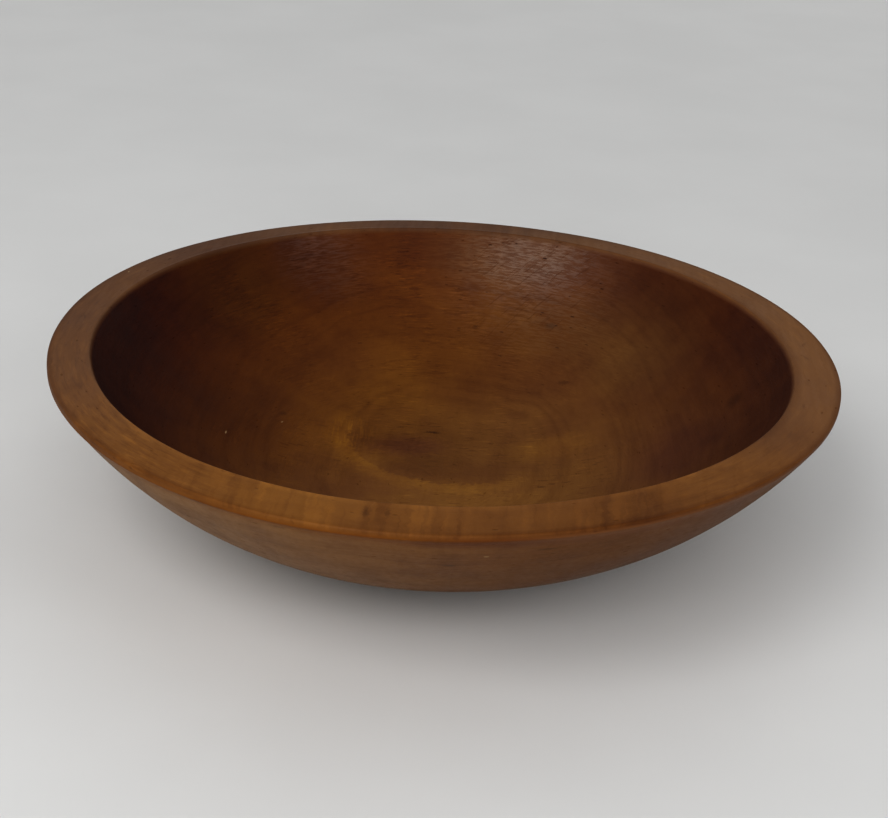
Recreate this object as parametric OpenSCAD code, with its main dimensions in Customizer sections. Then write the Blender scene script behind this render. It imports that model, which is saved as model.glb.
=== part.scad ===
// Turned wooden bowl: one solid, revolved about Z, resting on its foot ring at z = 0.

/* [Bowl] */
// Outside diameter, measured over the lip of the rim
bowl_d = 300; // [270:5:380]
// Height from the table to the inner edge of the rim
bowl_h = 70; // [58:1:80]
// Thickness of the wood in the middle of the floor
floor_t = 11; // [8:0.5:16]

/* [Rim] */
// Width of the flat rim, from its inner edge to its outer edge
rim_w = 16; // [12:0.5:24]
// How far the outer edge of the rim lies below its inner edge
rim_drop = 1; // [0:0.25:3]
// Height of the lip on the outer edge of the rim
lip_h = 2.2; // [2:0.1:5]
// How far the lip stands out over the wall
lip_step = 1; // [0.6:0.1:2]
// Rounding of the upper edge of the lip
lip_r = 1.2; // [0.4:0.1:1.2]
// Rounding of the inner edge of the rim
inner_edge_r = 1; // [0.4:0.1:2]

/* [Wall] */
// Slope of the outer wall just under the lip, from the horizontal
outer_slope = 57; // [52:1:68]
// Slope of the inner wall at the rim, from the horizontal
inner_slope = 62; // [60:1:70]

/* [Foot] */
// Diameter of the foot
foot_d = 110; // [90:2:130]
// Height of the foot's upright edge
foot_h = 1.5; // [1:0.25:4]
// Width of the ring that the bowl stands on
foot_ring_w = 12; // [6:1:20]
// Depth of the shallow hollow inside the foot ring
foot_hollow = 1.2; // [0.5:0.1:3]

/* [Hidden] */

// Smoothness of the revolved solid, of the two wall arcs and of the small rounded corners
turn_fn = 180;
wall_steps = 40;
corner_steps = 6;
// Rounding of the lip's lower edge, of the quirk under it and of the foot's lower edge
under_lip_r = 0.7;
quirk_r = 0.8;
foot_edge_r = 0.6;

foot_r = foot_d / 2;
hollow_r = foot_r - foot_ring_w;
rim_outer_z = bowl_h - rim_drop;
lip_bottom_z = rim_outer_z - lip_h;

// Corners of the half section, as [radius, height]
rim_inner = [bowl_d / 2 - rim_w, bowl_h];
rim_outer = [bowl_d / 2, rim_outer_z];
lip_bottom = [bowl_d / 2, lip_bottom_z];
wall_top = [bowl_d / 2 - lip_step, lip_bottom_z - lip_step];
wall_foot = [foot_r, foot_h];
foot_corner = [foot_r, 0];

// The outer wall is one arc that leaves wall_top at outer_slope and runs through wall_foot.
outer_chord = wall_top - wall_foot;
outer_chord_slope = atan2(outer_chord[1], outer_chord[0]);
outer_r = norm(outer_chord) / (2 * sin(outer_slope - outer_chord_slope));
outer_foot_slope = 2 * outer_chord_slope - outer_slope;

// The inner wall is one arc that leaves rim_inner at inner_slope and ends level with the floor.
inner_r = (bowl_h - floor_t) / (1 - cos(inner_slope));

// Points of an arc that passes through start, given the slopes at its two ends
function wall_arc(start, radius, slope_a, slope_b) = [
    for (i = [0 : wall_steps])
        let (slope = slope_a + (slope_b - slope_a) * i / wall_steps)
        start + radius * [sin(slope) - sin(slope_a), cos(slope_a) - cos(slope)]
];

// Points of the arc that rounds the corner at b, between its neighbours a and c
function rounded(a, b, c, radius) =
    let (
        to_a = (a - b) / norm(a - b),
        to_c = (c - b) / norm(c - b),
        half = acos(to_a * to_c) / 2,
        middle = (to_a + to_c) / norm(to_a + to_c),
        centre = b + middle * radius / sin(half),
        first = b + to_a * radius / tan(half) - centre,
        last = b + to_c * radius / tan(half) - centre,
        turn = 180 - 2 * half
    ) [
        for (i = [0 : corner_steps])
            let (part = i / corner_steps)
            centre + (first * sin(turn * (1 - part)) + last * sin(turn * part)) / sin(turn)
    ];

// All of a list but its first point, and all but its last point
function tail(points) = [for (i = [1 : len(points) - 1]) points[i]];
function head(points) = [for (i = [0 : len(points) - 2]) points[i]];

outer_wall = wall_arc(wall_foot, outer_r, outer_foot_slope, outer_slope);
inner_wall = wall_arc(rim_inner, inner_r, inner_slope, 0);

// Half section of the bowl, from the axis under the foot, up the outside and down the inside
section = concat(
    [[0, foot_hollow], [hollow_r - foot_hollow, foot_hollow], [hollow_r, 0]],
    rounded([hollow_r, 0], foot_corner, wall_foot, foot_edge_r),
    head(outer_wall),
    rounded(outer_wall[wall_steps - 1], wall_top, lip_bottom, quirk_r),
    rounded(wall_top, lip_bottom, rim_outer, under_lip_r),
    rounded(lip_bottom, rim_outer, rim_inner, lip_r),
    rounded(rim_outer, rim_inner, inner_wall[1], inner_edge_r),
    tail(inner_wall),
    [[0, floor_t]]
);

module bowl() {
    color("#6b431f")
        rotate_extrude($fn = turn_fn)
            polygon(section);
}

bowl();
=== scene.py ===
import math
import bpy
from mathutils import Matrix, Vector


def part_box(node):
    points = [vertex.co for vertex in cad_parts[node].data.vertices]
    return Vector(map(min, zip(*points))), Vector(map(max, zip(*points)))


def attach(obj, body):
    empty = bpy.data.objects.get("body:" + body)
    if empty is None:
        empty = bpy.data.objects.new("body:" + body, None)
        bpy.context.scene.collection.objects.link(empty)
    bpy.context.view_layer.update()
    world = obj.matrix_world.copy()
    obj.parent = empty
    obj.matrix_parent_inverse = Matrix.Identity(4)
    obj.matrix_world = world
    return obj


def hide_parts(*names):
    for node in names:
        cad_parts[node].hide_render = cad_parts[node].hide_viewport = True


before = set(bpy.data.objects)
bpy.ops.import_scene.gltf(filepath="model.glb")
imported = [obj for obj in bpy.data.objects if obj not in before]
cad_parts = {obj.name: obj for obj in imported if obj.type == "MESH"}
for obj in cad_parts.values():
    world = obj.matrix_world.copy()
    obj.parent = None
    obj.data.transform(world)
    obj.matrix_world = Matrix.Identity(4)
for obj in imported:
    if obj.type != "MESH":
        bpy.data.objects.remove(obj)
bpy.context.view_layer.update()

from types import SimpleNamespace

import bpy
import numpy as np
from mathutils import Matrix, Vector
from mathutils.bvhtree import BVHTree

MM = 0.001

# The photograph's view
VIEW_SIDE = 0.0009             # m to the right of the bowl's axis
VIEW_DISTANCE = 0.604          # m in front of the axis
VIEW_HEIGHT = 0.323            # m above the floor
VIEW_TILT = 24.97              # degrees below level
VIEW_ROLL = 2.73               # degrees
LENS = 68.9                    # mm, on a 36 mm sensor
SENSOR = 36
CONTRAST = 0.8                 # the view's gamma: under 1 deepens the shadows

# The bowl's mesh
STEPS_ROUND = 700
OUTER_WALL_STEPS = 32
INNER_WALL_STEPS = 48
FLAT_STEPS = 8
CORNER_STEPS = 5
# Parts of the surface that the wood's colours tell apart
ZONES = ("rim", "crest", "lip", "edge", "inside", "quirk", "under", "wall")

# Where the CAD bowl's outline is read: heights on the outer wall, distances from the axis inside
OUTER_LEVELS = (3 * MM, 30 * MM, 62 * MM)
INNER_REACHES = (55 * MM, 95 * MM, 130 * MM)
SIDE_START = 1                 # m: rays toward the outer wall start this far from the axis
CLEAR = 0.1                    # m: rays up and down start this far below and above the bowl
TOUCH = 0.05 * MM              # points this close to a flat or to the widest ring lie on it
TOP_TOUCH = 0.3 * MM           # the same for the rim's inner edge, which is rounded
WALL_FOOT = 1.5 * MM           # the outer wall's arc starts this high
QUIRK = 1.6 * MM               # the arc ends this far below the lip
# How far the CAD's own roundings keep the outline away from the corners that they round
CREST_BLEND = 0.8 * MM
LIP_BLEND = 0.3 * MM
FOOT_BLEND = 0.4 * MM
# Radii of the corners
FOOT_ROUND = 0.6 * MM
QUIRK_ROUND = 0.7 * MM
LIP_ROUND = 0.6 * MM
CREST_ROUND = 0.9 * MM
EDGE_ROUND = 0.8 * MM

# Unevenness of old turned wood
DISH = 0.8 * MM                # how far the floor sinks in the middle
DISH_REACH = 46 * MM
# Warp from drying, in mm: waves in one turn, then their cosine's and their sine's height
WARP_OUTWARD = (3, 0.41, 0.13)
WARP_UPWARD = (2, 0.25, -0.20)
WARP_RIM_UPWARD = (3, -0.27, 0.21)
WARP_FREE = 20 * MM            # the height from which the warp is full; it fades to the foot
RIPPLE = 0.05 * MM             # the slow waves that the turning tool left
RIPPLE_FREE = 8 * MM           # the height from which they are full; they fade to the foot
RIPPLE_WAVES = 14
RIPPLE_TURNS = (2, 19)         # waves in one turn
RIPPLE_LENGTHS = (18, 70)      # mm, along the outline
SEED = 7
HOLLOW_SHIFT = (-0.9 * MM, 1.4 * MM)   # the hollow's edge lies this far off the axis
LIP_FLATTEST = math.radians(-10)
LIP_HEIGHTS = (45, 65, 67, 68.8)       # mm: between the middle two the lip's wear is full
LIP_FILLED = 0.5 * MM          # how far the wall's top comes out under the flattest lip
LIP_RISE = 1.3                 # mm from the tallest lip's lower line up to the flattest one's
LIP_LOW = 0.5                  # mm that the tallest lip's lower line lies under the CAD bowl's

# The bake's layout
DISC = 0.285                   # radius of each of the two round maps
MAP_MIDDLES = (0.2929, 0.7071)         # centres of the maps of the outside and the inside


# ---------------------------------------------------------------- the bowl's half section

def point(radius, height):
    return np.array((radius, height))


def circle_through(a, b, c):
    """Centre and radius of the circle through three points of the half section."""
    rows = np.array([b - a, c - a])
    sides = [(b @ b - a @ a) / 2, (c @ c - a @ a) / 2]
    centre = np.linalg.solve(rows, sides)
    return centre, np.linalg.norm(a - centre)


def arc(centre, radius, start, end, steps):
    """Points from start to end along a circle."""
    first = math.atan2(*(start - centre)[::-1])
    last = math.atan2(*(end - centre)[::-1])
    turns = np.linspace(first, last, steps + 1)
    return [centre + radius * np.array((math.cos(t), math.sin(t))) for t in turns]


def rounded(a, b, c, radius):
    """Points of the arc that rounds the corner at b, between its neighbours a and c."""
    to_a = (a - b) / np.linalg.norm(a - b)
    to_c = (c - b) / np.linalg.norm(c - b)
    half = math.acos(np.clip(to_a @ to_c, -1, 1)) / 2
    middle = (to_a + to_c) / np.linalg.norm(to_a + to_c)
    centre = b + middle * radius / math.sin(half)
    first = b + to_a * radius / math.tan(half) - centre
    last = b + to_c * radius / math.tan(half) - centre
    turn = math.pi - 2 * half
    parts = np.linspace(0, 1, CORNER_STEPS + 1)
    return [
        centre + (first * math.sin(turn * (1 - p)) + last * math.sin(turn * p)) / math.sin(turn)
        for p in parts
    ]


def line(start, end, steps):
    """Points from just after start to end."""
    return [start + (end - start) * i / steps for i in range(1, steps + 1)]


def cad_outline():
    """The CAD bowl's corners, as points of the half section, and the circles of its walls."""
    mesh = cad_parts["bowl"].data
    places = [vertex.co for vertex in mesh.vertices]
    tree = BVHTree.FromPolygons(places, [list(face.vertices) for face in mesh.polygons])
    radius = np.array([math.hypot(p.x, p.y) for p in places])
    height = np.array([p.z for p in places])
    low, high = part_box("bowl")

    def inside(reach):
        hit = tree.ray_cast(Vector((reach, 0, high.z + CLEAR)), Vector((0, 0, -1)))[0]
        return point(reach, hit.z)

    def outside(level):
        hit = tree.ray_cast(Vector((SIDE_START, 0, level)), Vector((-1, 0, 0)))[0]
        return point(hit.x, level)

    outer = radius.max()
    lip = height[radius > outer - TOUCH]
    standing = radius[height < low.z + TOUCH]
    lip_bottom = point(outer, lip.min() - LIP_BLEND)
    return SimpleNamespace(
        recess=tree.ray_cast(Vector((0, 0, -CLEAR)), Vector((0, 0, 1)))[0].z,
        foot_inner=point(standing.min(), low.z),
        foot_outer=point(standing.max() + FOOT_BLEND, low.z),
        wall_foot=outside(low.z + WALL_FOOT),
        wall_top=outside(lip_bottom[1] - QUIRK),
        lip_bottom=lip_bottom,
        rim_outer=point(outer, lip.max() + CREST_BLEND),
        rim_inner=point(radius[height > high.z - TOP_TOUCH].min(), high.z),
        outer_circle=circle_through(*map(outside, OUTER_LEVELS)),
        inner_circle=circle_through(*map(inside, INNER_REACHES)),
    )


def half_section():
    """The bowl's outline from the axis under the foot, up the outside and down the inside, as
    (point, zone) pairs, read from the CAD bowl so that both have one shape."""
    cad = cad_outline()
    centre, radius = cad.inner_circle
    under_middle = point(0, cad.recess)
    recess_edge = point(cad.foot_inner[0] - cad.recess, cad.recess)
    floor_edge = centre - point(0, radius)
    floor_middle = point(0, floor_edge[1])
    outer_wall = arc(*cad.outer_circle, cad.wall_foot, cad.wall_top, OUTER_WALL_STEPS)
    inner_wall = arc(centre, radius, cad.rim_inner, floor_edge, INNER_WALL_STEPS)
    crest = rounded(cad.lip_bottom, cad.rim_outer, cad.rim_inner, CREST_ROUND)
    edge = rounded(cad.rim_outer, cad.rim_inner, inner_wall[1], EDGE_ROUND)
    stretches = (
        ([under_middle], "under"),
        (line(under_middle, recess_edge, FLAT_STEPS), "under"),
        ([cad.foot_inner], "under"),
        (rounded(cad.foot_inner, cad.foot_outer, cad.wall_foot, FOOT_ROUND), "foot"),
        (outer_wall[:-1], "wall"),
        (rounded(outer_wall[-2], cad.wall_top, cad.lip_bottom, QUIRK_ROUND), "quirk"),
        (rounded(cad.wall_top, cad.lip_bottom, cad.rim_outer, LIP_ROUND), "lip"),
        (crest, "crest"),
        (line(crest[-1], edge[0], FLAT_STEPS)[:-1], "rim"),
        (edge, "edge"),
        (inner_wall[1:], "inside"),
        (line(floor_edge, floor_middle, FLAT_STEPS), "inside"),
    )
    return [(place, zone) for places, zone in stretches for place in places]


# ---------------------------------------------------------------- the bowl's mesh

def waves(angle, turns, cos_height, sin_height):
    return cos_height * np.cos(turns * angle) + sin_height * np.sin(turns * angle)


def drying(angle, reach):
    """How far drying has moved the wood outward and upward, at a part of the full radius."""
    outward = waves(angle, *WARP_OUTWARD)
    upward = waves(angle, *WARP_UPWARD) + reach * waves(angle, *WARP_RIM_UPWARD)
    return outward * reach * MM, upward * reach * reach * MM


def lip_wear(angle, radius, height, rim_radius):
    """How the lip and the wall's top differ from an even lip: outward and upward. The lip is
    tallest at the left and lowest and flattest at the right."""
    flat = (1 + np.cos(angle - LIP_FLATTEST)) / 2
    near = np.interp(height / MM, LIP_HEIGHTS, (0, 1, 1, 0))
    behind = np.clip((rim_radius - radius) / MM, 0, 1)
    return LIP_FILLED * flat * near * behind, near * (LIP_RISE * flat - LIP_LOW) * MM


def ripple(angle, along):
    """Slow waves over a surface that is given by its angle and its length along the outline."""
    random = np.random.default_rng(SEED)
    total = np.zeros_like(angle)
    for _ in range(RIPPLE_WAVES):
        turns = random.integers(*RIPPLE_TURNS)
        wave = random.uniform(*RIPPLE_LENGTHS) * MM
        start = random.uniform(0, 2 * math.pi, 2)
        waves_along = np.cos(2 * math.pi * along / wave + start[1])
        total += np.cos(turns * angle + start[0]) * waves_along
    return RIPPLE * total / math.sqrt(RIPPLE_WAVES)


def bowl_places(rings, along, hollow):
    """The mesh's points: every ring of the outline turned round, then the two on the axis.
    The rings from the hollow's edge inwards lie a little off the axis."""
    angles = np.linspace(0, 2 * math.pi, STEPS_ROUND, endpoint=False)
    reach, angle = np.meshgrid(rings[1:-1, 0], angles, indexing="ij")
    height = np.meshgrid(rings[1:-1, 1], angles, indexing="ij")[0]
    length = np.meshgrid(along[1:-1], angles, indexing="ij")[0]
    widest = rings[:, 0].max()
    outward, upward = drying(angle, reach / widest)
    free = np.clip(height / WARP_FREE, 0, 1)
    worn_out, worn_up = lip_wear(angle, reach, height, widest)
    worn_out[hollow:] = worn_up[hollow:] = 0
    shift = np.zeros_like(reach)
    shift[hollow:] = (reach[hollow:] / reach[hollow, 0]) ** 2
    rippled = ripple(angle, length) * np.clip(height / RIPPLE_FREE, 0, 1)
    height = height + upward * free + rippled + worn_up
    reach = reach + outward * free + worn_out
    x = reach * np.cos(angle) + shift * HOLLOW_SHIFT[0]
    y = reach * np.sin(angle) + shift * HOLLOW_SHIFT[1]
    places = np.stack([x, y, height], -1)
    return np.vstack([places.reshape(-1, 3), [0, 0, rings[0, 1]], [0, 0, rings[-1, 1]]])


def ring_faces(rings):
    """Four-sided faces between neighbouring rings, then a fan of triangles at each end."""
    i = np.arange(STEPS_ROUND)
    j = (i + 1) % STEPS_ROUND
    faces = []
    for ring in range(rings - 1):
        a, b = ring * STEPS_ROUND, (ring + 1) * STEPS_ROUND
        faces += np.stack([a + i, a + j, b + j, b + i], 1).tolist()
    under = rings * STEPS_ROUND
    over = under + 1
    top = (rings - 1) * STEPS_ROUND
    faces += np.stack([np.full_like(i, under), j, i], 1).tolist()
    faces += np.stack([np.full_like(i, over), top + i, top + j], 1).tolist()
    return faces


def lay_out_for_bake(mesh, along, split):
    """Gives the bake two round maps, of the outside up to the split ring and of the inside."""
    count = len(along) - 2
    angles = np.linspace(0, 2 * math.pi, STEPS_ROUND, endpoint=False)
    turn = np.concatenate([np.tile(angles, count), [0, 0]])
    length = np.concatenate([np.repeat(along[1:-1], STEPS_ROUND), [along[0], along[-1]]])
    vertex = np.empty(len(mesh.loops), dtype=np.int32)
    mesh.loops.foreach_get("vertex_index", vertex)
    sizes = np.empty(len(mesh.polygons), dtype=np.int32)
    mesh.polygons.foreach_get("loop_total", sizes)
    ring = np.repeat(np.arange(count - 1), STEPS_ROUND)
    face_outside = np.concatenate([ring < split, np.ones(STEPS_ROUND), np.zeros(STEPS_ROUND)])
    outside = np.repeat(face_outside, sizes).astype(bool)
    longest = max(along[split + 1], along[-1] - along[split + 1])
    reach = np.where(outside, length[vertex], along[-1] - length[vertex]) / longest * DISC
    middle = np.where(outside, *MAP_MIDDLES)
    u = middle + reach * np.cos(turn[vertex])
    v = middle + reach * np.sin(turn[vertex])
    layer = mesh.uv_layers.new(name="OFBake")
    layer.uv.foreach_set("vector", np.stack([u, v], 1).astype(np.float32).ravel())


def bowl_mesh(outline):
    """A closed mesh turned from the half section, with the small unevenness of dried wood."""
    rings = np.array([p for p, zone in outline])
    zones = [zone for p, zone in outline]
    inside = np.array([zone == "inside" for zone in zones])
    rings[:, 1] -= DISH * np.exp(-((rings[:, 0] / DISH_REACH) ** 2)) * inside
    steps = np.linalg.norm(np.diff(rings, axis=0), axis=1)
    along = np.concatenate([[0], np.cumsum(steps)])
    mesh = bpy.data.meshes.new("turned_bowl")
    places = bowl_places(rings, along, zones.index("edge") - 1)
    mesh.from_pydata(places.tolist(), [], ring_faces(len(rings) - 2))
    mesh.update()
    mesh.shade_smooth()
    for name in ZONES:
        values = np.array([float(zone == name) for zone in zones])
        layer = mesh.attributes.new("zone_" + name, "FLOAT", "POINT")
        spread = np.concatenate([np.repeat(values[1:-1], STEPS_ROUND), [values[0], values[-1]]])
        layer.data.foreach_set("value", spread.astype(np.float32))
    lay_out_for_bake(mesh, along, zones.index("quirk") - 1)
    return mesh


# ---------------------------------------------------------------- node trees

class Graph:
    """A material's node tree, with a short call for each kind of node used here."""

    def __init__(self, name):
        self.material = bpy.data.materials.new(name)
        self.material.use_nodes = True
        self.tree = self.material.node_tree
        self.tree.nodes.clear()
        self.output = self.tree.nodes.new("ShaderNodeOutputMaterial")
        self.shader = self.tree.nodes.new("ShaderNodeBsdfPrincipled")
        self.tree.links.new(self.shader.outputs[0], self.output.inputs[0])

    def put(self, socket, value):
        """Links a socket, or sets a plain value."""
        if isinstance(value, bpy.types.NodeSocket):
            self.tree.links.new(value, socket)
        elif socket.type == "RGBA":
            socket.default_value = (*value, 1)
        else:
            socket.default_value = value

    def node(self, kind, inputs, output=0, **settings):
        made = self.tree.nodes.new("ShaderNode" + kind)
        for key, value in settings.items():
            setattr(made, key, value)
        for key, value in inputs.items():
            self.put(made.inputs[key], value)
        return made.outputs[output]

    def math(self, operation, *values):
        return self.node("Math", dict(enumerate(values)), operation=operation)

    def add(self, *values):
        total = values[0]
        for value in values[1:]:
            total = self.math("ADD", total, value)
        return total

    def times(self, *values):
        total = values[0]
        for value in values[1:]:
            total = self.math("MULTIPLY", total, value)
        return total

    def minus(self, a, b):
        return self.math("SUBTRACT", a, b)

    def length(self, a, b):
        return self.math("SQRT", self.add(self.times(a, a), self.times(b, b)))

    def join(self, x, y, z):
        return self.node("CombineXYZ", {0: x, 1: y, 2: z})

    def scaled(self, vector, factors):
        return self.node("VectorMath", {0: vector, 1: factors}, operation="MULTIPLY")

    def noise(self, vector, detail=2.0, roughness=0.5):
        inputs = {"Vector": vector, "Scale": 1.0, "Detail": detail, "Roughness": roughness}
        return self.node("TexNoise", inputs)

    def cloud(self, vector, frequency, **settings):
        """A noise that changes as fast in every direction."""
        return self.noise(self.scaled(vector, (frequency,) * 3), **settings)

    def fit(self, value, low, high, to_low=0.0, to_high=1.0):
        """A value taken smoothly from one range to another, and held at the ends."""
        inputs = {"Value": value, 1: low, 2: high, 3: to_low, 4: to_high}
        return self.node("MapRange", inputs, interpolation_type="SMOOTHSTEP")

    def mix(self, share, a, b, blend="MIX"):
        made = self.tree.nodes.new("ShaderNodeMix")
        made.data_type = "RGBA"
        made.blend_type = blend
        self.put(made.inputs[0], share)
        self.put(made.inputs[6], a)
        self.put(made.inputs[7], b)
        return made.outputs[2]

    def tint(self, share, colour, stain):
        """Multiplies a colour by a stain."""
        return self.mix(share, colour, stain, "MULTIPLY")

    def zone(self, name):
        return self.node("Attribute", {}, output=2, attribute_name="zone_" + name)

    def ragged(self, vector, frequency, amount):
        """Coordinates moved about a little, so that what they place gets uneven edges."""
        slow = self.scaled(vector, (frequency,) * 3)
        field = self.node("TexNoise", {"Vector": slow, "Detail": 3.0}, output=1)
        field = self.node("VectorMath", {0: field, 1: (0.5, 0.5, 0.5)}, operation="SUBTRACT")
        moved = self.scaled(field, (2 * amount, 2 * amount, 0))
        return self.node("VectorMath", {0: vector, 1: moved}, operation="ADD")

    def away(self, vector, centre, size, turn=0.0):
        """How far a place is from an oval's middle: 1 at its edge. Centre and half sizes are in
        mm, the turn in degrees."""
        inputs = {
            "Vector": vector,
            "Location": centre,
            "Rotation": (0, 0, math.radians(turn)),
            "Scale": size,
        }
        local = self.node("Mapping", inputs, vector_type="TEXTURE")
        return self.node("VectorMath", {0: local}, output=1, operation="LENGTH")

    def spot(self, vector, centre, size, turn=0.0, core=0.45):
        """A soft oval, 1 in its core and 0 at its edge."""
        return self.fit(self.away(vector, centre, size, turn), 1.0, core)

    def bump(self, height, distance):
        return self.node("Bump", {"Height": height, "Distance": distance, "Strength": 1.0})


class Painting(Graph):
    """A material whose colour is built up in layers. A layer shows by the product of its
    shares and its strength."""

    colour = None                  # what the layers so far have made

    def cover(self, colour, *shares, strength=1.0):
        """Covers the colour with another."""
        self.colour = self.mix(self.times(*shares, strength), self.colour, colour)

    def stain(self, stain, *shares, strength=1.0):
        """Multiplies the colour by a stain."""
        self.colour = self.tint(self.times(*shares, strength), self.colour, stain)

    def streaks(self, stain, where, noise, start, full, strength):
        """Stains a noise's streaks, from where it is at start to where it is at full."""
        self.stain(stain, where, self.fit(noise, start, full), strength=strength)


# ---------------------------------------------------------------- the wood

# Linear colours
BROWN = (0.138, 0.051, 0.0070)
AMBER = (0.178, 0.073, 0.0092)
# Pale haze of the torn wood, partly a painted sheen
HAZE_AND_SHEEN = (0.220, 0.130, 0.0320)
RIM_BROWN = (0.165, 0.068, 0.0150)
RIM_AMBER = (0.205, 0.088, 0.0160)
# The rim's greyish tint toward the back: partly dust, partly a painted sheen
LEFT_RIM_DUST_AND_SHEEN = (0.122, 0.066, 0.0400)
RIGHT_RIM_DUST_AND_SHEEN = (0.195, 0.100, 0.0460)
LIP_DUST = (0.131, 0.054, 0.0184)
WALL_BROWN = (0.136, 0.057, 0.0160)
# The outer wall's paler colour on the left: partly dust, partly painted light
WALL_DUST_AND_LIGHT = (0.219, 0.121, 0.0530)
BARE_WOOD = (0.42, 0.30, 0.16)
# Stains, which multiply the colour under them
GRAIN_STAIN = (0.52, 0.40, 0.32)
# The two stains below also carry painted shade on the walls inside
WALL_STAIN_AND_SHADE = (0.54, 0.285, 0.115)
DEEP_STAIN_AND_SHADE = (0.42, 0.24, 0.20)
PLUM_STAIN = (0.78, 0.66, 1.20)
SPOT_STAIN = (0.28, 0.20, 0.20)
LIP_STAIN = (0.96, 0.84, 0.66)
LIP_MIDDLE_STAIN = (0.78, 0.72, 0.92)
CREST_STAIN = (0.74, 0.66, 0.58)
GOLD_LIFT = (1.40, 1.50, 1.15)
NEAR_LIFT = (1.45, 1.55, 1.35)
STREAK_LIFT = (1.45, 1.50, 1.45)
DULL = (0.93, 1.00, 2.10)

GRAIN_TURN = 4                 # degrees between the fibres and Y
PITH = (5, -120)               # mm: the tree's middle, across the fibres and in height
PITH_STRAIGHT = 35             # mm along Y, where the tree's middle is nearest
PITH_BEND = 0.0016             # per mm: how fast it bends away from there
RING_WIDTH = 3.1               # mm
RING_WANDER = 20               # mm: how far the yearly rings stray from circles
SCRATCH_SLANT = (0.78, 0.62)   # cosine and sine of the angle between the scratches and X

OWN_COLOUR = 0.85              # how much the rim and the outer wall have colours of their own
SPECULAR = 0.12                # the plain wood's shine
COAT_ROUGHNESS = 0.3
TORN_GLOSS = 0.48              # weight of the clear coat on each of the two polished patches
SMOOTH_GLOSS = 0.55
RELIEF = 0.09 * MM             # height of the wood's fine relief

# Soft ovals: centre and half sizes in mm, and where given turn in degrees and size of the core
EYE = ((6, 37, 11), (46, 41, 60))                      # the dark oval on the floor
GOLD_PATCH = ((46, 29, 13), (27, 14, 14), 14, 0.15)    # over its right end
HAIRS = ((-37, 36, 12), (15, 17, 14), 0, 0.3)          # fine golden lines over its left end
PLUM = ((-14, 29, 11), (24, 13, 20), 8, 0.2)           # a purple tinge in it
# a darker patch low on the left wall inside: partly stain, partly painted shade
LEFT_STAIN_AND_SHADE = ((-82, 16, 22), (46, 50, 34), 0, 0.1)
SWEPT = ((-40, 104, 50), (105, 62, 60), 0, 0.2)        # where the turned lines are strongest
TORN = ((38, 114, 54), (58, 48, 56), 0, 0.2)           # torn by the tool, then polished by use
SMOOTH = ((-56, 115, 59), (32, 24, 30), 0, 0.2)        # only polished by use
SHEEN_HAZE_TOP = ((31, 128, 61), (48, 22, 26), 0, 0.3)       # rough pale wood in the torn patch, partly a painted sheen
SHEEN_HAZE_LOW = ((50, 98, 38), (36, 26, 24), 0, 0.2)

# Stretches of the rim: centre and half sizes in mm, how much lighter, or darker where negative
RIM_PATCHES = (
    ((-50, -132, 69), (44, 34, 9), 0.80),
    ((-104, -92, 69), (46, 50, 9), 0.45),
    ((140, 30, 69), (30, 62, 9), 0.55),
    ((118, -66, 69), (22, 26, 9), -0.50),
    ((92, -108, 69), (26, 22, 9), 0.25),
    ((-104, 96, 69), (66, 62, 9), -0.95),
    ((-10, 142, 69), (84, 22, 9), -0.85),
    ((-148, 20, 69), (24, 60, 9), -0.30),
    ((62, -126, 69), (48, 26, 9), -0.30),
)
# Wide, soft changes of tone inside: centre and half sizes in mm, and the stain
TONE_PATCHES = (
    ((88, 78, 44), (48, 46, 38), (1.10, 1.36, 1.65)),
    ((29, 109, 44), (24, 18, 18), (1.25, 1.42, 1.45)),
    ((94, 0, 28), (42, 42, 32), (0.78, 0.68, 1.05)),
    ((-96, 88, 58), (46, 54, 32), (1.10, 1.40, 1.20)),
    ((-26, 19, 11), (22, 14, 10), (1.25, 1.32, 1.20)),
    ((29, 76, 20), (36, 27, 20), (0.82, 0.75, 0.82)),
    ((-48, 81, 28), (38, 28, 22), (0.84, 0.79, 1.05)),
)
# Stains and knocks, then chips: centre and half sizes in mm, turn in degrees, strength
DARK_MARKS = (
    ((-3.5, 42.5, 11.5), (4.2, 1.1, 4), -4, 0.85),
    ((41, -2.5, 12), (3.4, 1.0, 4), 0, 0.6),
    ((-10, 97, 31), (2.4, 1.6, 3), 0, 0.6),
    ((13, 104, 36), (2.2, 1.5, 3), 20, 0.6),
    ((46, 99, 40), (4.2, 2.2, 4), -15, 0.5),
    ((-77, 76, 43), (9, 4.5, 7), 15, 0.45),
    ((52, 71, 25), (4.0, 1.6, 4), -15, 0.45),
    ((116, 12, 46), (4.5, 5.5, 7), 0, 0.4),
    ((-66, 38, 19), (3.0, 1.8, 4), 40, 0.4),
    ((-22, -138, 69), (1.6, 4.5, 3), 0, 0.45),
    ((-15, -138, 69), (1.4, 4.0, 3), 0, 0.4),
    ((-64, -90, 28), (16, 3.0, 5), 118, 0.35),
    ((-48, -139, 64), (5.5, 3.0, 1.2), 5, 0.5),
    ((5, -139, 52), (3.0, 4.0, 1.0), 0, 0.45),
    ((35, -141, 61), (4.5, 4.0, 0.8), 0, 0.4),
    ((141, 16, 69), (0.7, 4.5, 3), -28, 0.35),
    ((139.5, 3, 69), (0.7, 4.0, 3), 24, 0.35),
    ((131, -43, 69), (0.8, 3.5, 3), -12, 0.30),
    ((-141, 10, 69), (0.7, 5.0, 3), 16, 0.35),
    ((-133, -33, 69), (0.6, 6.0, 3), 34, 0.30),
    ((24, 24, 11.5), (5.0, 0.8, 3), 6, 0.35),
    ((-4, 12, 11.5), (6.5, 0.7, 3), -3, 0.40),
    ((70, 22, 15), (3.0, 0.9, 4), 8, 0.40),
)
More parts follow.
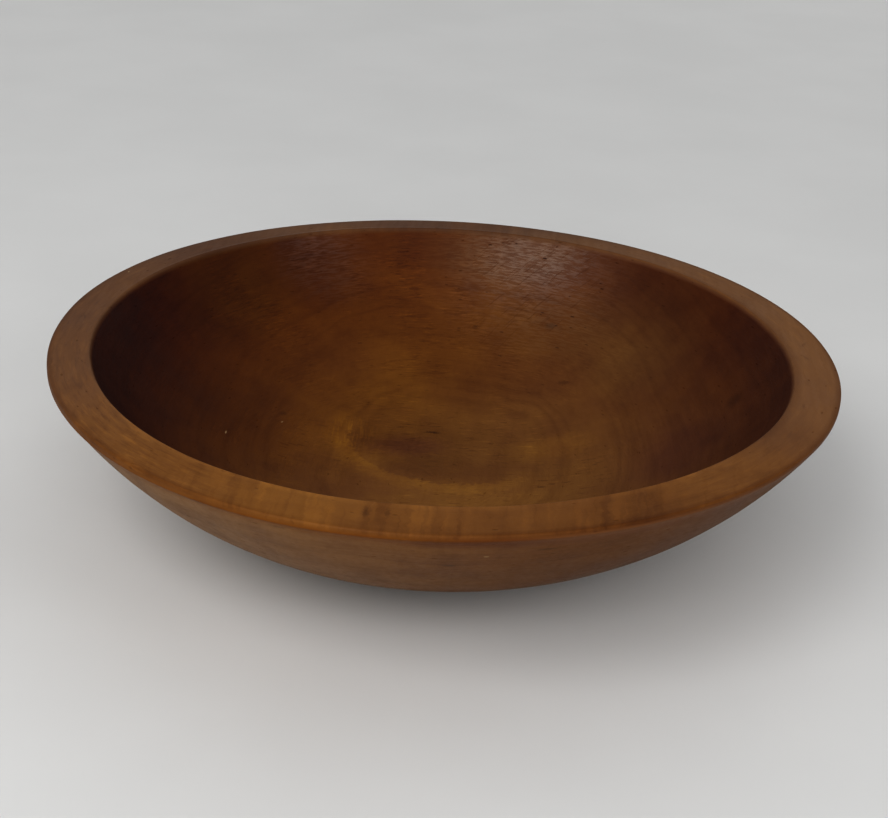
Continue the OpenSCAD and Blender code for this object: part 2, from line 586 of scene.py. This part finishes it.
LIGHT_MARKS = (
    ((-86, 8, 24), (0.35, 1.6, 4), 0, 0.6),
    ((-133.3, 60.8, 69), (0.5, 0.9, 2), 0, 0.6),
    ((16.3, -142.7, 58), (1.2, 2.0, 0.5), 0, 0.35),
    ((-52, 44, 14), (0.6, 0.5, 2), 0, 0.4),
    ((-66, 32, 17), (0.4, 0.9, 3), -30, 0.4),
)


def wood_places(g):
    """The coordinates that the wood's nodes share, in mm. Outline is the distance from the axis
    plus the height, which grows all the way from the floor's middle to the lip."""
    coords = g.node("TexCoord", {}, output=3)
    place = g.scaled(coords, (1 / MM, 1 / MM, 1 / MM))
    split = g.node("SeparateXYZ", {0: place})
    x, y, z = split.node.outputs
    reach = g.length(x, y)
    turned = g.node("Mapping", {"Vector": place, "Rotation": (0, 0, math.radians(GRAIN_TURN))})
    sin = g.math("DIVIDE", y, g.math("MAXIMUM", reach, 1.0))
    return SimpleNamespace(
        place=place, x=x, y=y, z=z, grain=turned, sin=sin, outline=g.add(reach, z)
    )


def round_vector(g, w, around, along):
    """Coordinates that change slowly round the bowl and fast along its outline, for marks of
    turning. Both rates are per mm."""
    return g.join(g.times(w.x, around), g.times(w.y, around), g.times(w.outline, along))


def growth_rings(g, w):
    """Dark lines where the yearly rings meet the surface, and each year's own darkness."""
    wander = g.noise(g.scaled(w.grain, (0.020, 0.007, 0.020)), detail=3)
    across = g.minus(w.x, PITH[0])
    beyond = g.minus(w.y, PITH_STRAIGHT)
    up = g.add(g.minus(w.z, PITH[1]), g.times(g.times(beyond, beyond), PITH_BEND))
    radius = g.add(g.length(across, up), g.times(wander, RING_WANDER))
    age = g.math("DIVIDE", radius, RING_WIDTH)
    ring = g.math("FRACT", age)
    late_wood = g.times(g.fit(ring, 0.35, 0.90), g.fit(ring, 1.0, 0.92))
    year = g.noise(g.join(age, g.times(w.y, 0.01), 0.5), detail=1)
    return g.times(late_wood, g.fit(year, 0.35, 0.7, 0.25, 1.0)), year


def specks(g, w):
    """Small dark pits, drawn out round the bowl by the turning tool."""
    cells = g.tree.nodes.new("ShaderNodeTexVoronoi")
    g.put(cells.inputs["Vector"], round_vector(g, w, around=0.16, along=0.40))
    g.put(cells.inputs["Scale"], 1.0)
    chance = g.node("SeparateColor", {0: cells.outputs["Color"]})
    size = g.fit(chance, 0.45, 1.0, 0.0, 0.20)
    return g.fit(g.minus(size, cells.outputs["Distance"]), -0.02, 0.10)


def scratches(g, w):
    """Fine lines that slant up to the right across the back of the inside."""
    cos, sin = SCRATCH_SLANT
    along = g.add(g.times(w.x, cos), g.times(w.z, sin))
    across = g.minus(g.times(w.z, cos), g.times(w.x, sin))
    lines = g.noise(g.join(g.times(along, 0.075), g.times(across, 1.3), 2.0), detail=1)
    return g.fit(lines, 0.60, 0.68)


def add_zones(g, w):
    """The parts of the surface, each 1 where it is and 0 elsewhere."""
    for name in ZONES:
        setattr(w, name, g.zone(name))
    w.top = g.math("MINIMUM", g.add(w.rim, w.edge, w.crest), 1.0)
    w.outer = g.math("MINIMUM", g.add(w.wall, w.quirk, w.under), 1.0)
    w.lips = g.add(w.lip, w.quirk)
    w.torn = g.times(g.spot(w.place, *TORN), w.inside)
    w.smooth = g.times(g.spot(w.place, *SMOOTH), w.inside)


def add_noises(g, w):
    """The noises that several layers of the wood share."""
    wavy = g.ragged(w.grain, 0.07, 2.0)
    w.ragged = g.ragged(w.place, 0.09, 4.5)
    w.fibre = g.noise(g.scaled(wavy, (0.5, 0.030, 0.5)), detail=5, roughness=0.6)
    w.bars = g.noise(g.scaled(wavy, (0.22, 0.015, 0.05)), detail=3, roughness=0.6)
    w.mottle = g.cloud(w.place, 0.030, detail=4, roughness=0.6)
    w.blotch = g.cloud(w.place, 0.085, detail=3, roughness=0.55)
    w.fine = g.noise(round_vector(g, w, around=0.20, along=1.05), detail=2, roughness=0.6)
    w.broad = g.noise(round_vector(g, w, around=0.06, along=0.30), detail=3, roughness=0.6)
    w.pits = specks(g, w)
    w.scratched = g.times(scratches(g, w), w.torn)


def body_colour(g, w):
    """The plain colour of the inside, the rim and the outer wall."""
    g.colour = g.mix(g.fit(w.mottle, 0.32, 0.68), BROWN, AMBER)
    g.cover(RIM_BROWN, w.top, strength=OWN_COLOUR)
    # Painted light, partly dust and stain: the outer wall is paler on the left and darker on the
    # right
    wall = g.mix(g.fit(w.x, 38, -88), WALL_BROWN, WALL_DUST_AND_LIGHT)
    wall = g.tint(g.times(g.fit(w.x, 0, 60), 0.35), wall, GRAIN_STAIN)
    g.cover(wall, w.outer, strength=OWN_COLOUR)
    g.stain(GRAIN_STAIN, g.fit(w.blotch, 0.42, 0.75), g.fit(w.inside, 0, 1, 0.35, 0.15))


def rim_patches(g, w):
    """Lighter and darker stretches of the rim."""
    for centre, size, lift in RIM_PATCHES:
        patch = g.times(w.top, g.spot(w.place, centre, size, core=0.1))
        if lift > 0:
            g.cover(RIM_AMBER, patch, strength=lift)
        else:
            g.stain(GRAIN_STAIN, patch, strength=-lift)


def grain_lines(g, w):
    """Growth rings, darker and lighter years, and fibres."""
    rings, year = growth_rings(g, w)
    g.stain(GRAIN_STAIN, rings, strength=0.10)
    g.stain(GRAIN_STAIN, g.fit(year, 0.4, 0.75), strength=0.20)
    g.stain(GRAIN_STAIN, g.fit(w.fibre, 0.45, 0.80), strength=0.16)


def rim_streaks(g, w):
    """Bars across the rim at the front and back, dashes along it elsewhere, and a greyish tint
    on all but its front, partly dust and partly a painted sheen."""
    dash = g.noise(round_vector(g, w, around=0.07, along=0.55), detail=2, roughness=0.55)
    scuff = g.noise(round_vector(g, w, around=0.11, along=1.5), detail=1)
    endwise = g.math("ABSOLUTE", w.sin)
    ends = g.times(w.top, g.fit(endwise, 0.72, 0.95), g.fit(w.mottle, 0.35, 0.60, 0.35, 1.0))
    fainter_front_right = g.fit(g.minus(w.x, w.y), 90, 150, 1.0, 0.55)
    sides = g.times(w.top, g.fit(endwise, 0.97, 0.75), fainter_front_right)
    g.streaks(GRAIN_STAIN, ends, w.bars, start=0.50, full=0.64, strength=0.50)
    g.streaks(STREAK_LIFT, ends, w.bars, start=0.48, full=0.35, strength=0.40)
    g.streaks(GRAIN_STAIN, sides, dash, start=0.53, full=0.64, strength=0.32)
    g.streaks(STREAK_LIFT, sides, dash, start=0.43, full=0.34, strength=0.45)
    g.streaks(STREAK_LIFT, sides, scuff, start=0.62, full=0.70, strength=0.32)
    g.streaks(GRAIN_STAIN, sides, scuff, start=0.37, full=0.29, strength=0.35)
    # Painted sheen, partly dust: the rim turns greyer and bluer from the front toward the back
    dust_and_sheen = g.mix(g.fit(w.x, -20, 180), LEFT_RIM_DUST_AND_SHEEN, RIGHT_RIM_DUST_AND_SHEEN)
    g.cover(dust_and_sheen, w.top, g.fit(w.y, -120, -30), strength=0.5)


def turned_lines(g, w):
    """Lines left by turning, strongest at the upper back of the inside."""
    patchy = g.fit(g.cloud(w.place, 0.045, detail=2), 0.42, 0.62, 0.15, 1.0)
    patchy = g.times(patchy, g.fit(w.outline, 55, 130, 0.6, 1.0))
    fainter_right = g.fit(w.x, 20, 100, 1.0, 0.4)
    swept = g.add(0.45, g.times(g.spot(w.place, *SWEPT), 0.55))
    turned = g.times(w.inside, patchy, fainter_right, swept)
    turned = g.add(turned, g.times(w.outer, 0.15))
    g.streaks(GRAIN_STAIN, turned, w.fine, start=0.56, full=0.64, strength=0.60)
    g.streaks(STREAK_LIFT, turned, w.fine, start=0.43, full=0.35, strength=0.65)
    g.streaks(GRAIN_STAIN, turned, w.broad, start=0.52, full=0.66, strength=0.30)


def floor_scuffs(g, w):
    """Short dark and light scuffs across the floor."""
    floor = g.times(w.inside, g.fit(w.outline, 96, 74), g.fit(w.mottle, 0.40, 0.60, 0.25, 1.0))
    nicks = g.noise(g.scaled(w.place, (0.13, 0.85, 0.30)), detail=2, roughness=0.6)
    g.streaks(GRAIN_STAIN, floor, nicks, start=0.62, full=0.68, strength=0.60)
    g.streaks(STREAK_LIFT, floor, nicks, start=0.38, full=0.32, strength=0.50)


def floor_oval(g, w):
    """The oval on the floor: dark inside, with a golden line along its left and front, a golden
    patch over its right end, and golden hairs over its left end."""
    away = g.away(w.ragged, *EYE)
    border = g.times(g.fit(away, 0.94, 0.99), g.fit(away, 1.25, 1.02))
    border = g.times(border, g.fit(w.y, 58, 30), g.fit(w.x, 40, 12), w.inside)
    patch = g.times(g.spot(w.ragged, *GOLD_PATCH), w.inside, 0.8)
    gold = g.math("MAXIMUM", g.times(border, 0.85), patch)
    g.stain(GOLD_LIFT, gold, strength=0.9)
    dark = g.times(g.fit(away, 0.98, 0.78), w.inside, g.fit(w.x, 30, -12), g.fit(w.y, 70, 30))
    g.stain(GRAIN_STAIN, dark, strength=0.36)
    hairs = g.noise(g.scaled(w.place, (1.1, 0.11, 0.3)), detail=1)
    across = g.times(g.spot(w.place, *HAIRS), w.inside)
    g.stain(GOLD_LIFT, across, g.fit(hairs, 0.50, 0.62), strength=0.55)


def inside_tones(g, w):
    """Wide changes of tone inside: paler at the front of the floor, greyer toward the front
    right, and purple in the oval."""
    near = g.times(w.inside, g.fit(w.y, 24, -14), g.fit(w.x, -55, -15), g.fit(w.x, 62, 24))
    g.stain(NEAR_LIFT, near, strength=0.6)
    g.stain(DULL, w.inside, g.fit(g.minus(w.x, w.y), -100, -10), strength=0.8)
    g.stain(PLUM_STAIN, g.spot(w.ragged, *PLUM), w.inside, strength=0.8)


def wall_stains_and_shade(g, w):
    """The walls inside are darker, most on the left: partly more stain, partly painted shade."""
    up = g.fit(w.outline, 62, 200)
    left = g.times(g.fit(w.x, 5, -125), g.fit(w.y, 30, 110, 1.0, 0.6))
    right = g.fit(w.x, 35, 135)
    ends = g.fit(g.math("ABSOLUTE", w.y), 60, 135)
    uneven = g.times(w.inside, g.fit(w.blotch, 0.2, 0.8, 0.93, 1.07))
    # Painted shade over a real stain: darker toward the rim and on the left and right walls
    g.stain(WALL_STAIN_AND_SHADE, uneven, up, strength=0.75)
    g.stain(DEEP_STAIN_AND_SHADE, uneven, left, up)
    g.stain(WALL_STAIN_AND_SHADE, w.inside, left, strength=0.6)
    g.stain(DEEP_STAIN_AND_SHADE, uneven, right, up, strength=0.8)
    g.stain(DEEP_STAIN_AND_SHADE, w.inside, ends, strength=0.1)
    g.stain(DEEP_STAIN_AND_SHADE, g.spot(w.place, *LEFT_STAIN_AND_SHADE), w.inside, strength=0.45)


def tone_patches(g, w):
    """Wide, soft patches of other tones inside."""
    for centre, size, stain in TONE_PATCHES:
        g.stain(stain, g.spot(w.ragged, centre, size, core=0.1), w.inside)


def lip_colour(g, w):
    """The lip, dusty from right of the middle on, and the darker crest above it."""
    worn = g.noise(round_vector(g, w, around=0.035, along=0.1), detail=2)
    worn = g.fit(worn, 0.35, 0.65, 0.55, 1.0)
    g.stain(LIP_STAIN, w.lips, worn)
    g.stain(LIP_MIDDLE_STAIN, w.lips, g.fit(w.x, -30, 10))
    g.cover(LIP_DUST, w.lips, g.fit(w.x, 15, 50), strength=0.9)
    shade = g.add(g.fit(w.x, -15, 50, 0.4, 1.0), g.fit(w.x, -35, -75, 0, 0.5))
    g.stain(CREST_STAIN, w.crest, shade, g.fit(worn, 0.55, 1, 0.8, 1))


def rim_edges(g, w):
    """The rim's outer third is darker right of the middle. Its inner edge is dark at the back
    and the right, and pale at the front, partly from wear and partly a painted highlight."""
    outer_third = g.times(w.top, g.fit(w.outline, 209, 219))
    g.stain(GRAIN_STAIN, outer_third, g.fit(w.x, 0, 50), g.fit(w.x, 95, 65), strength=0.35)
    far = g.math("MAXIMUM", g.fit(w.y, 30, 90), g.fit(w.x, 80, 120))
    g.stain(CREST_STAIN, w.edge, far, strength=0.8)
    # Painted highlight, partly wear: a pale line along the inner edge at the front
    g.stain(STREAK_LIFT, w.edge, g.fit(w.y, -30, -90), g.fit(w.x, 120, 80), strength=0.5)


def marks(g, w):
    """Stains, knocks and chips, each at its own place."""
    uneven = g.ragged(w.place, 0.30, 1.3)
    for centre, size, turn, strength in DARK_MARKS:
        g.stain(SPOT_STAIN, g.spot(uneven, centre, size, turn, core=0.2), strength=strength)
    for centre, size, turn, strength in LIGHT_MARKS:
        g.cover(BARE_WOOD, g.spot(w.place, centre, size, turn), strength=strength)


def torn_wood(g, w):
    """Haze, pits and scratches where the turning tool tore the wood; the pale haze is partly a
    painted sheen.
    """
    hazy_sheen = g.add(g.spot(w.place, *SHEEN_HAZE_TOP), g.times(g.spot(w.place, *SHEEN_HAZE_LOW), 0.6))
    # Painted sheen, partly rough pale wood: a lighter haze over the torn patch
    g.cover(HAZE_AND_SHEEN, hazy_sheen, w.inside, g.fit(w.fine, 0.38, 0.60, 1.0, 0.4), strength=0.16)
    g.stain(SPOT_STAIN, w.pits, g.add(0.30, g.times(w.torn, 0.7)))
    g.stain(GRAIN_STAIN, w.scratched, strength=0.3)


def polish(g, w):
    """Two glossier patches at the back of the inside, broken up by lines, scratches and pits."""
    gloss = g.add(g.times(w.torn, TORN_GLOSS), g.times(w.smooth, SMOOTH_GLOSS))
    broken = g.times(g.fit(w.fine, 0.40, 0.58, 1.0, 0.25), g.fit(w.scratched, 0, 1, 1.0, 0.5))
    broken = g.times(broken, g.fit(w.pits, 0, 1, 1.0, 0.2))
    g.put(g.shader.inputs["Coat Weight"], g.times(gloss, broken))
    g.put(g.shader.inputs["Coat Roughness"], COAT_ROUGHNESS)
    g.put(g.shader.inputs["Specular IOR Level"], SPECULAR)


def surface(g, w):
    """How rough the wood is, and its relief of fibres, turned lines, pits and scratches."""
    worn = g.fit(w.mottle, 0.3, 0.7, -0.04, 0.05)
    rough = g.add(g.fit(w.fibre, 0.2, 0.8, 0.46, 0.56), worn, g.times(w.pits, 0.2))
    g.put(g.shader.inputs["Roughness"], g.minus(rough, g.times(w.torn, 0.13)))
    relief = g.times(w.fibre, g.fit(w.top, 0, 1, 0.20, 0.06))
    relief = g.add(relief, g.times(w.fine, 0.60))
    relief = g.minus(relief, g.times(w.pits, 0.9))
    relief = g.minus(relief, g.times(w.scratched, 0.4))
    g.put(g.shader.inputs["Normal"], g.bump(relief, RELIEF))


def wood():
    """The stained wood. Each layer changes the colour that those before it made, w holds what
    the layers share, and their distances are in mm."""
    g = Painting("stained_wood")
    w = wood_places(g)
    add_zones(g, w)
    add_noises(g, w)
    body_colour(g, w)
    rim_patches(g, w)
    grain_lines(g, w)
    rim_streaks(g, w)
    turned_lines(g, w)
    floor_scuffs(g, w)
    floor_oval(g, w)
    inside_tones(g, w)
    wall_stains_and_shade(g, w)
    tone_patches(g, w)
    lip_colour(g, w)
    rim_edges(g, w)
    marks(g, w)
    torn_wood(g, w)
    g.put(g.shader.inputs["Base Color"], g.colour)
    polish(g, w)
    surface(g, w)
    return g.material


# ---------------------------------------------------------------- stage, light and camera

FLOOR_HALF = 6                 # m
FLOOR_GREY = (0.625, 0.625, 0.62)
FLOOR_PALE = (0.645, 0.645, 0.64)
FLOOR_CLOUDS = 9               # per m
FLOOR_ROUGHNESS = 0.6
ROOM_LIGHT = 0.45
LAMP_DISTANCE = 1.8            # m
# Direction from the bowl, width in m, watts, and whether polished wood mirrors the lamp
LAMPS = {
    "window": ((-0.43, -0.55, 0.72), 1.1, 13.5, True),
    "side_window": ((0.65, -0.54, 0.53), 0.7, 3, True),
    "front_fill": ((0, -0.90, 0.44), 1.6, 22, False),
    "back_left_fill": ((-0.45, 0.78, 0.44), 1.4, 3.5, False),
    "back_right_fill": ((0.45, 0.78, 0.44), 1.4, 4.5, False),
}


def new_object(name, data):
    made = bpy.data.objects.new(name, data)
    bpy.context.scene.collection.objects.link(made)
    return made


def floor_paint():
    g = Graph("floor_paint")
    cloud = g.cloud(g.node("TexCoord", {}, output=3), FLOOR_CLOUDS, detail=4)
    colour = g.mix(g.fit(cloud, 0.3, 0.7), FLOOR_GREY, FLOOR_PALE)
    g.put(g.shader.inputs["Base Color"], colour)
    g.put(g.shader.inputs["Roughness"], FLOOR_ROUGHNESS)
    return g.material


def make_floor():
    mesh = bpy.data.meshes.new("floor")
    half = FLOOR_HALF
    corners = [(-half, -half, 0), (half, -half, 0), (half, half, 0), (-half, half, 0)]
    mesh.from_pydata(corners, [], [(0, 1, 2, 3)])
    mesh.materials.append(floor_paint())
    new_object("floor", mesh)


def make_lamp(name, direction, width, power, mirrored):
    data = bpy.data.lights.new(name, "AREA")
    data.shape = "DISK"
    data.size = width
    data.energy = power
    lamp = new_object(name, data)
    way = Vector(direction).normalized()
    lamp.location = way * LAMP_DISTANCE
    lamp.rotation_mode = "QUATERNION"
    lamp.rotation_quaternion = way.to_track_quat("Z", "Y")
    lamp.visible_glossy = mirrored


def make_camera():
    data = bpy.data.cameras.new("camera")
    data.lens = LENS
    data.sensor_width = SENSOR
    camera = new_object("camera", data)
    camera.location = (VIEW_SIDE, -VIEW_DISTANCE, VIEW_HEIGHT)
    camera.rotation_mode = "QUATERNION"
    tilt = Matrix.Rotation(math.radians(90 - VIEW_TILT), 3, "X")
    roll = Matrix.Rotation(math.radians(VIEW_ROLL), 3, "Z")
    camera.rotation_quaternion = (tilt @ roll).to_quaternion()
    bpy.context.scene.camera = camera


def make_world():
    world = bpy.data.worlds.new("room")
    world.use_nodes = True
    background = world.node_tree.nodes["Background"]
    background.inputs["Color"].default_value = (1, 1, 1, 1)
    background.inputs["Strength"].default_value = ROOM_LIGHT
    bpy.context.scene.world = world


# ---------------------------------------------------------------- the whole scene

bowl = new_object("turned_bowl", bowl_mesh(half_section()))
bowl.data.materials.append(wood())
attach(bowl, "root")
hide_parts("bowl")

make_floor()
make_camera()
make_world()
for name, settings in LAMPS.items():
    make_lamp(name, *settings)
bpy.context.scene.view_settings.view_transform = "Standard"
bpy.context.scene.view_settings.gamma = CONTRAST
